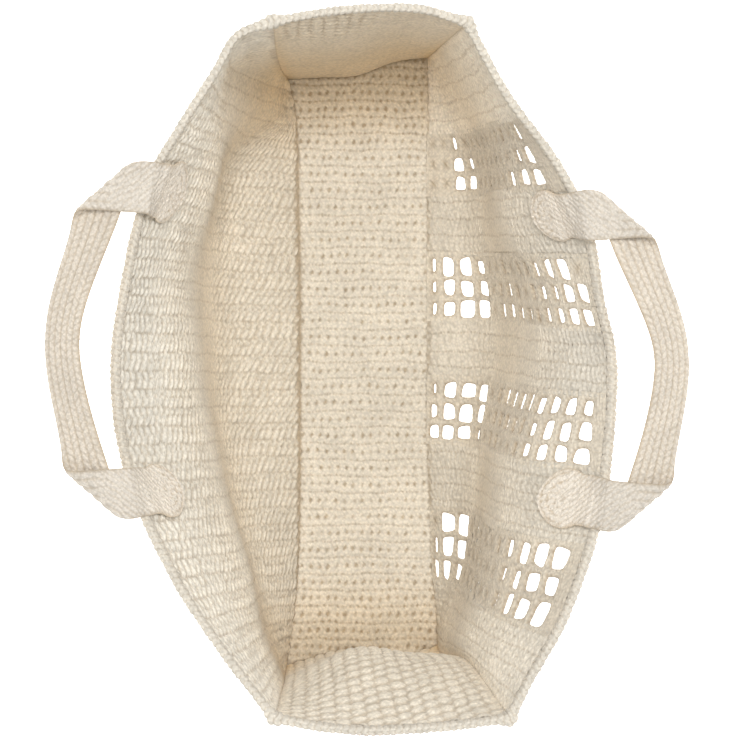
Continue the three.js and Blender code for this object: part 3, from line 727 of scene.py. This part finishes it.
def mesh_band(middle, pitch, heights, openness, number):
    """Open mesh: round-cornered gaps between bars of yarn, cut through."""
    layers = GAP_LAYERS
    square, round_square = soft_square(POINTS_TO_A_SIDE)
    between = [(a + b) / 2 for a, b in zip(heights, heights[1:])]
    bounds = [0, *between, heights[-1] * 1.5 - heights[-2] / 2]
    points, uvs, shades, faces = [], [], [], []
    first = 0
    depth = np.repeat(np.linspace(0, 1, layers + 1), len(square))
    for j in range(len(heights)):
        tall = (bounds[j + 1] - bounds[j]) * CLOTH_HEIGHT
        for i in range(HOLES_ACROSS):
            kind = chance(number, i, j)
            other = chance(number + 1, i + 3, j)
            opened = int(openness[i][j]) / 9
            half = np.array([0.5 - BAR_WIDTH / 2 / pitch * (0.85 + 0.25 * other),
                             max(0.1, 0.5 - BAR_WIDTH / 2 / tall * (0.85 + 0.25 * kind))])
            half *= np.array([min(1, 0.5 + 0.6 * opened), opened]) if opened else 0
            hole = pulled(round_square, number, i, j) * half
            cell = np.concatenate([lerp(0.5 * square, hole, t) for t in np.linspace(0, 1, layers + 1)])
            x = middle + (i + 0.5 - HOLES_ACROSS / 2 + cell[:, 0]) * pitch
            v = lerp(bounds[j], bounds[j + 1], 0.5 + cell[:, 1])
            on_outer = depth == 0
            if j == len(heights) - 1:
                v = np.where(on_outer & (cell[:, 1] > 0.499), 1, v)
            edge_x = middle + np.sign(cell[:, 0]) * (HOLES_ACROSS * pitch + BAR_WIDTH) / 2
            in_end_column = np.abs(x - middle) > (HOLES_ACROSS / 2 - 0.01) * pitch
            at_side = on_outer & (np.abs(cell[:, 0]) > 0.499) & in_end_column
            x = np.where(at_side, edge_x, x)
            u = x / HALF_MOUTH
            up = v * CLOTH_HEIGHT
            sheet_point = front(u, v)
            out = frame_at(front, u, v, 1)[2]
            along_bar = np.where(np.abs(cell[:, 0]) > np.abs(cell[:, 1]), up + 0.8 * x, x + 0.8 * up)
            twist = 0.5 + 0.5 * np.sin(along_bar * 1.7 + 2 * kind)
            rounded = np.sqrt(np.clip(1 - depth**2.4, 0, 1)) if opened else 1 - 0.4 * depth
            thick = (WALL / 2 + 0.3) * rounded * (0.7 + 0.3 * twist)
            n = len(square)
            for sheet in (-1, 1):
                points.append(sheet_point + out * (sheet * thick)[:, None])
                uvs.append(np.stack([0.5 + 0.3 * cell[:, 0], up / 7], axis=1))
                # Painted shade deeper into each gap and between the twists of the yarn
                shades.append(0.25 + 0.5 * depth**2 + 0.3 * (1 - twist))
            total = (layers + 1) * n
            for sheet in range(2):
                for ring in range(layers):
                    a = first + sheet * total + ring * n + np.arange(n)
                    b = first + sheet * total + ring * n + (np.arange(n) + 1) % n
                    quad = np.stack([a, b, b + n, a + n], axis=1)
                    faces.append(quad if sheet else quad[:, ::-1])
            first += 2 * total
    return np.concatenate(points), faces, np.concatenate(uvs), np.concatenate(shades)


def welded(points, faces, uvs, shades):
    """Joins points that lie together, and drops faces that shrink to a line."""
    keys = np.round(points * 200).astype(np.int64)
    _, keep, number = np.unique(keys, axis=0, return_index=True, return_inverse=True)
    number = number.ravel()
    clean = []
    for f in faces:
        f = number[f]
        whole = np.ones(len(f), bool)
        for k in range(f.shape[1]):
            whole &= f[:, k] != f[:, (k + 1) % f.shape[1]]
        clean.append(f[whole])
        rest = [list(dict.fromkeys(face)) for face in f[~whole].tolist()]
        rest = [face for face in rest if len(face) == 3]
        if rest:
            clean.append(np.array(rest))
    return points[keep], [c for c in clean if len(c)], uvs[keep], shades[keep]


for k, band in enumerate(BANDS):
    points, faces, uvs, shades = welded(*mesh_band(*band, k))
    # The mesh gets a little painted brown shade by its tone and painted shade by a lower wash
    mesh_piece(f"front_mesh_{k + 1}", points, faces, uvs, shades, cloth_yarn, "front_panel", 0.15, 0.93)

# The base: rows run across it, at steps along X
BASE_ROW = 12.7
BASE_STITCH = 6.7
# Points of its grids, along and across
BASE_TOP = (360, 112)
BASE_UNDERSIDE = (180, 48)


def base_sheet(counts, face):
    """The upper face of the base, or its underside where face is -1, as closed_piece takes it."""
    p = spaced(-1, 1, counts[0])
    q = spaced(0, 1, counts[1])
    q2, p2 = (a.ravel() for a in np.meshgrid(q, p, indexing="ij"))
    zero = np.zeros_like(p2)
    low, high = front(p2, zero), back(p2, zero)
    xs = p2 * BASE_LENGTH / 2
    y = lerp(low[:, 1] - 0.4, high[:, 1] + 0.4, q2)
    ends = lerp(right(1 - q2, zero)[:, 0], left(1 - q2, zero)[:, 0], (p2 < 0).astype(float))
    target = np.where(p2 < 0, ends + BASE_LENGTH / 2 + GAP, ends - BASE_LENGTH / 2 - GAP)
    # The ends follow the feet of the end walls
    x = xs + target * np.abs(p2) ** 6
    row, along = wander(x / BASE_ROW, y / BASE_STITCH)
    height = base_relief(row, along)
    rim = np.minimum(q2, 1 - q2) * BASE_WIDTH
    rim = np.minimum(rim, (1 - np.abs(p2)) * BASE_LENGTH / 2)
    edge = ease(rim / 3.5)
    if face > 0:
        z = WALL + 0.4 - 2.2 * (1 - np.clip(height, 0, 1)) - 1.0 * (1 - edge)
    else:
        z = 0.05 + 0.9 * (1 - np.clip(height, 0, 1)) * edge + 0.8 * (1 - edge)
    points = np.stack([x, y, z], axis=1)
    # Painted brown shade towards both ends by the tone; a wash that paints light on the half towards -X and
    # shade at both ends; painted shade in the pits and along the edge
    light_and_shade_tone = ease((np.abs(p2) - 0.66) / 0.3) * np.where(p2 > 0, 0.95, 0.7) * (face > 0)
    painted_light_level = 1 + (0.1 * ease((-p2 - 0.2) / 0.3) - 0.16 * ease((np.abs(p2) - 0.84) / 0.14)) * (face > 0)
    cloth = np.stack([row, along], axis=1)
    return points, cloth, 1 - np.clip(height * edge, 0, 1), light_and_shade_tone, painted_light_level, p, q, face < 0


closed_piece("base_cloth", "base_panel", cloth_yarn,
             [base_sheet(BASE_TOP, 1), base_sheet(BASE_UNDERSIDE, -1)])


# The edging: chain stitches along the rim
BEADS = 300
POINTS_PER_BEAD = 6
POINTS_AROUND = 16


def rim_line(count):
    """Evenly spaced places once round the rim, with the directions up the cloth and out of the bag."""
    dense = 400
    long_us = np.linspace(-1, 1, dense)
    end_us = np.linspace(0, 1, dense)
    parts = [(back, -1, long_us[:-1]), (right, -1, end_us[:-1]), (front, 1, long_us[:0:-1]),
             (left, 1, end_us[:0:-1])]
    points = np.concatenate([s(us, np.ones_like(us)) for s, _, us in parts])
    frames = [frame_at(s, np.clip(us, us.min() + BESIDE_SEAM, us.max() - BESIDE_SEAM), np.ones_like(us), turn)
              for s, turn, us in parts]
    rises = np.concatenate([f[1] for f in frames])
    outs = np.concatenate([f[2] for f in frames])
    closed = np.concatenate([points, points[:1]])
    run = np.concatenate([[0], np.cumsum(np.linalg.norm(np.diff(closed, axis=0), axis=1))])
    at = np.arange(count) / count * run[-1]

    def sample(values):
        looped = np.concatenate([values, values[:1]])
        return np.stack([np.interp(at, run, looped[:, k]) for k in range(3)], axis=1)

    corners = run[[0, dense - 1, 2 * (dense - 1), 3 * (dense - 1)]]
    away = np.abs((at[:, None] - corners[None] + run[-1] / 2) % run[-1] - run[-1] / 2).min(axis=1)
    return sample(points), unit(sample(rises)), unit(sample(outs)), at, run[-1], away


def smooth_loop(values, width):
    kernel = np.hanning(width)
    kernel /= kernel.sum()
    padded = np.concatenate([values[-width:], values, values[:width]])
    out = np.stack([np.convolve(padded[:, k], kernel, mode="same") for k in range(3)], axis=1)
    return out[width:-width]


def edging_piece():
    around = POINTS_AROUND
    count = BEADS * POINTS_PER_BEAD
    points, rises, outs, at, total, away = rim_line(count)
    rises, outs = unit(smooth_loop(rises, 15)), unit(smooth_loop(outs, 15))
    swell = 1 + 0.7 * np.exp(-((away / 7) ** 2))
    place = at / total * BEADS
    bead = np.floor(place)
    angles = np.arange(around) / around * 2 * math.pi
    rows, uvs, shades = [], [], []
    for k, angle in enumerate(angles):
        # Two chains lie side by side, with a valley between them on top
        squared = (abs(math.cos(angle)) ** 3 + abs(math.sin(angle)) ** 3) ** (-1 / 3)
        lobe = squared - 0.22 * math.exp(-(((angle - math.pi / 2) / 0.4) ** 2))
        slant = 0.4 * abs(math.cos(angle))
        g = (place + slant) % 1
        grain = 1 - np.abs(2 * g - 1) ** 2.2
        reach = lobe * (0.76 + 0.24 * grain) * swell * (0.92 + 0.16 * chance(3, 5, bead))
        wide = 0.95 if math.cos(angle) > 0 else 0.8
        out_by = math.cos(angle) * EDGING_WIDTH / 2 * wide * reach
        up_by = EDGING_HEIGHT / 2 - 0.6 + math.sin(angle) * (EDGING_HEIGHT / 2 + 0.6) * reach
        rows.append(points + outs * out_by[:, None] + rises * up_by[:, None])
        uvs.append(np.stack([place * 0 + k / around * 2, place], axis=1))
        # Painted shade between the beads
        shades.append(1 - np.clip(0.25 + 0.75 * grain * (0.6 + 0.4 * chance(5, k // 3, bead)), 0, 1))
    grid = np.stack(rows, axis=1).reshape(-1, 3)
    i = np.arange(count)[:, None] * around
    k = np.arange(around)[None]
    a, b = i + k, i + (k + 1) % around
    c = (i + around) % (count * around) + (k + 1) % around
    d = (i + around) % (count * around) + k
    quads = np.stack([a, b, c, d], axis=-1).reshape(-1, 4)
    mesh_piece("edging_chain", grid, [quads], np.stack(uvs, axis=1).reshape(-1, 2),
               np.stack(shades, axis=1).ravel(), edge_yarn, "rim_edging")


edging_piece()


# The handles
def half_handle(surface, side, end, middle, reach, half):
    def u_at(direction):
        return (middle + direction * half - MOUTH_SHIFT) / (MOUTH_LENGTH / 2)

    def rim_at(u):
        return surface(np.array([u]), np.array([1.0]))[0]

    u0 = u_at(end)
    per_u = np.linalg.norm(rim_at(u0 + NEARBY) - rim_at(u0 - NEARBY)) / (2 * NEARBY)
    on_panel = WALL / 2 + HANDLE_SEAT + STRAP_THICKNESS / 2
    over_edging = EDGING_WIDTH / 2 + HANDLE_SEAT + STRAP_THICKNESS / 2

    def seat(s, w):
        u = u0 + end * w / per_u
        v = np.minimum(1, 1 + s / CLOTH_HEIGHT)
        _, rise, out = frame_at(surface, u, v, -side)
        inset = lerp(on_panel, over_edging, ease(1 + s / (2 * EDGING_HEIGHT)))
        return surface(u, v) - out * inset[:, None] + rise * np.maximum(0, s)[:, None]

    rim = rim_at(u0)
    fold_out = abs(rim[1]) + FOLD_REACH
    angle, lean = FOLD_ANGLE, OUTGOING_LEAN
    run_slope = 1 / math.tan(2 * angle - lean)
    leave = abs(seat(np.array([float(OVER_RIM)]), np.zeros(1))[0, 1])

    def folded(s, w):
        out = leave + (s - OVER_RIM) * math.cos(lean) + w * math.sin(lean)
        away = half - (s - OVER_RIM) * math.sin(lean) + w * math.cos(lean)
        past = (out - fold_out) * math.sin(angle) + (away - half) * math.cos(angle)
        turn = np.clip(past / FOLD_RADIUS, 0, math.pi)
        beyond = np.maximum(0, past - math.pi * FOLD_RADIUS)
        returned = np.maximum(0, past) - FOLD_RADIUS * np.sin(turn) + beyond
        out = out - returned * math.sin(angle)
        away = away - returned * math.cos(angle)
        return out, away, rim[2] + OUTGOING_RISE - FOLD_RADIUS * (1 - np.cos(turn)), turn

    fold_length = math.pi * FOLD_RADIUS
    drift = fold_length * (math.cos(angle) - math.sin(angle) * run_slope) / math.tan(angle - lean)
    run_start = fold_out + drift
    depth = reach - run_start
    fullness = 3 - run_slope * half / depth
    levelling = (rim_at(u_at(-end))[2] - rim[2]) / 2

    def bow(share):
        return reach - depth * share**2 * (fullness - (fullness - 1) * share)

    def bowed(out, away, high, turn):
        offset = (out - run_start - (half - away) * run_slope) / (1 + run_slope**2)
        share = np.minimum(1, (away - offset * run_slope) / half)
        slope = (bow(share - NEARBY) - bow(share + NEARBY)) / (2 * NEARBY * half)
        tilt = RUN_TILT * (1 - np.abs(share) ** 5)
        blend = ease((turn / math.pi - 0.5) * 2)
        across = offset * math.sqrt(1 + run_slope**2)
        return (lerp(out, bow(share) + across * np.cos(tilt), blend),
                lerp(away, share * half + across * slope * np.cos(tilt), np.where(share < 1, blend, 0)),
                high + (levelling * (1 - share**2) - across * np.sin(tilt)) * blend)

    def sharp(s, w):
        out, away, high = bowed(*folded(s, w))
        free = np.stack([middle + end * away, side * out, high], axis=1)
        seated = lerp(seat(np.minimum(s, OVER_RIM), w), free, ease(s / OVER_RIM)[:, None])
        return np.where((s >= OVER_RIM)[:, None], free, seated)

    def place(s, w):
        """The strap's path, softened where it bends."""
        soft = ease((s + 14) / 20) * (7.5 + 8 * np.exp(-(((s - 8) / 9) ** 2)))
        return sum(share * sharp(s + step * soft, w)
                   for step, share in ((-1, 0.15), (-0.5, 0.22), (0, 0.26), (0.5, 0.22), (1, 0.15)))

    fold_at = OVER_RIM + (fold_out - leave) / math.cos(lean)
    square_again = fold_at + 2 * math.pi * FOLD_RADIUS

    def shear(s):
        return -ease(s / fold_at) * (1 - ease((s - square_again) / STRAP_WIDTH)) / math.tan(angle - lean)

    run = np.arange(fold_at, fold_at + 2 * half + 60, 0.1)
    ends = end * (place(run, 0 * run)[:, 0] - middle)
    return place, shear, run[np.argmax(ends <= 0)], fold_at


RIBS = 6
RIB_STITCH = 5.2
STRAP_COLUMNS = 44
STRAP_STATIONS = 190
ROUND_END_STATIONS = 14


def strap_relief(s, w, fold_at):
    """Rows round the middle of each round end, fine rows over the rim, and lengthwise ribs on the run."""
    radius = STRAP_END_WIDTH / 2
    rib = (w / STRAP_WIDTH + 0.5) * RIBS
    turn = np.where(np.floor(rib) % 2 > 0, 1, -1)
    number = np.floor(rib)
    braid = grains(rib, s / RIB_STITCH * turn + 0.37 * number, 0.5, 0.5, 0.4, 0.46, 1) * 0.6 + 0.4
    ribs = braid * (0.35 + 0.65 * np.abs(np.sin(math.pi * rib)) ** 0.8)
    rows = 0.35 + 0.65 * grains(s / 5.4, w / 4.6, 0.5, 0.5, 0.5, 0.42, 6)
    rho = np.hypot(s + radius, w)
    ring = rho / 5.2 + 0.5
    ring_number = np.floor(ring)
    around = np.arctan2(w, s + radius) / (2 * math.pi) * np.maximum(5, np.round(7.4 * ring_number))
    rings = 0.38 + 0.62 * grains(ring, around, 0.5, 0.48, 0.25, 0.4, 4)
    rings = rings - 0.9 * pits(ring, around, 0.02, 0.2, 0.3, 2) - 0.8 * np.exp(-((rho / 1.8) ** 2))
    rows = lerp(rows, rings, ease((4 - s - radius) / 12))
    return lerp(rows, ribs, ease((s - fold_at + 6) / 12))


def handle_piece(name, node, surface, side, middle, reach, half):
    radius = STRAP_END_WIDTH / 2
    halves = {}
    stations = []
    for end in (-1, 1):
        halves[end] = half_handle(surface, side, end, middle, reach, half)
        quarter = spaced(0, 1, ROUND_END_STATIONS)[:-1] * math.pi / 2
        round_end = -radius - radius * np.cos(quarter)
        straight = spaced(-radius, halves[end][2], STRAP_STATIONS)
        line = [(s, end) for s in np.concatenate([round_end, straight])]
        stations += line if end < 0 else line[::-1][1:]
    shares = spaced(-1, 1, STRAP_COLUMNS)
    sheets = {1: [], -1: []}
    uvs, shades, light_and_shade_tones, painted_light_levels = [], [], [], []
    for end in (-1, 1):
        place, shear, run_middle, fold_at = halves[end]
        s = np.array([station for station, e in stations if e == end])
        circle = np.sqrt(np.maximum(0, radius**2 - (s + radius) ** 2))
        half_width = np.where(s < -radius, np.maximum(1, circle), np.maximum(STRAP_WIDTH / 2, circle))
        s2, share = (a.ravel() for a in np.meshgrid(s, shares, indexing="ij"))
        w = share * np.repeat(half_width, len(shares))
        sheared = s2 + shear(s2) * w
        step = 0.2
        onward = place(sheared + step, w) - place(sheared - step, w)
        across = place(sheared, w + step) - place(sheared, w - step)
        normal = unit(np.cross(onward, across)) * end * side
        middle_points = place(sheared, w)
        relief = np.clip(strap_relief(sheared, w, fold_at), 0, 1)
        edge = np.sqrt(np.clip(1 - np.abs(share) ** 7, 0, 1))
        for sheet in (1, -1):
            height = (STRAP_THICKNESS / 2 + 0.5 - 1.6 * (1 - relief)) * edge
            sheets[sheet].append(middle_points + normal * (sheet * height)[:, None])
        along = s2 if end < 0 else 2 * run_middle - s2
        uvs.append(np.stack([w / 6, along / RIB_STITCH], axis=1))
        # Painted shade in the grooves; painted pale light by the tone from the round end to past the rim; a
        # wash that paints light on the round end and a little shade on the outgoing part
        shades.append(1 - relief * edge)
        light_and_shade_tones.append(-0.25 * (1 - ease((s2 - 40) / 20)))
        outgoing = ease((s2 - 10) / 10) * (1 - ease((s2 - 40) / 20))
        painted_light_levels.append(1 + 0.2 * (1 - ease((s2 + 6) / 18)) - 0.06 * outgoing)
    rows = len(stations)
    cols = len(shares)
    top, bottom = np.concatenate(sheets[1]), np.concatenate(sheets[-1])
    points = np.concatenate([top, bottom])
    n = rows * cols
    faces = [grid_faces(cols, rows, 0), grid_faces(cols, rows, n, flip=True)]
    number = np.arange(n).reshape(rows, cols)
    for k, border in enumerate((number[0], number[:, -1], number[-1], number[:, 0])):
        quads = np.stack([border[:-1], border[1:], border[1:] + n, border[:-1] + n], axis=1)
        faces.append(quads if k in (2, 3) else quads[:, ::-1])
    uv, shade = np.concatenate(uvs), np.concatenate(shades)
    light_and_shade_tone, painted_light_level = np.concatenate(light_and_shade_tones), np.concatenate(painted_light_levels)
    mesh_piece(name, points, faces, np.concatenate([uv, uv]), np.concatenate([shade, shade]), strap_yarn,
               node, np.concatenate([light_and_shade_tone, light_and_shade_tone]), np.concatenate([painted_light_level, painted_light_level]))


handle_piece("strap_back", "handle_back", back, 1, *HANDLES["back"])
handle_piece("strap_front", "handle_front", front, -1, *HANDLES["front"])

# The floor, the lights and the camera
bpy.ops.object.select_all(action="DESELECT")
bpy.ops.mesh.primitive_plane_add(size=14, location=(0, 0, -0.0005))
floor = bpy.context.object
floor.name = "floor"
paper = bpy.data.materials.new("white floor")
paper.use_nodes = True
paper_shader = paper.node_tree.nodes["Principled BSDF"]
paper_shader.inputs["Base Color"].default_value = (0.9, 0.9, 0.9, 1)
paper_shader.inputs["Roughness"].default_value = 0.9
paper_shader.inputs["Emission Color"].default_value = (1, 1, 1, 1)
paper_shader.inputs["Emission Strength"].default_value = 1.0
floor.data.materials.append(paper)

world = bpy.data.worlds.new("soft room")
bpy.context.scene.world = world
world.use_nodes = True
world.node_tree.nodes["Background"].inputs["Color"].default_value = (1, 0.99, 0.97, 1)
world.node_tree.nodes["Background"].inputs["Strength"].default_value = 0.46


def softbox(name, place, target, size, power):
    data = bpy.data.lights.new(name, "AREA")
    data.shape = "SQUARE"
    data.size = size
    data.energy = power
    lamp = bpy.data.objects.new(name, data)
    bpy.context.collection.objects.link(lamp)
    lamp.location = place
    lamp.rotation_euler = (Vector(target) - Vector(place)).to_track_quat("-Z", "Y").to_euler()


softbox("key", (0.5, -0.05, 3.0), (0, 0, 0.1), 0.9, 52)
softbox("fill from the right", (0.3, -2.1, 1.9), (0, 0.1, 0.15), 1.4, 13)
softbox("fill from the left", (-0.2, 2.2, 1.9), (0, -0.1, 0.15), 1.4, 9)
softbox("fill from the far end", (-1.7, 0.5, 2.2), (0.2, 0, 0.1), 1.4, 8)

EYE = Vector((-0.00475, -0.003, 2.1))
SENSOR = 36
FOCAL_PIXELS = 2694
FRAME_PIXELS = 736
view = bpy.data.cameras.new("from above")
view.sensor_width = SENSOR
view.lens = FOCAL_PIXELS / FRAME_PIXELS * SENSOR
view.clip_start = 0.05
view.clip_end = 50
camera = bpy.data.objects.new("from above", view)
camera.matrix_world = Matrix.Translation(EYE) @ Matrix.Rotation(math.radians(-90), 4, "Z")
bpy.context.collection.objects.link(camera)
bpy.context.scene.camera = camera
bpy.context.scene.view_settings.view_transform = "Standard"
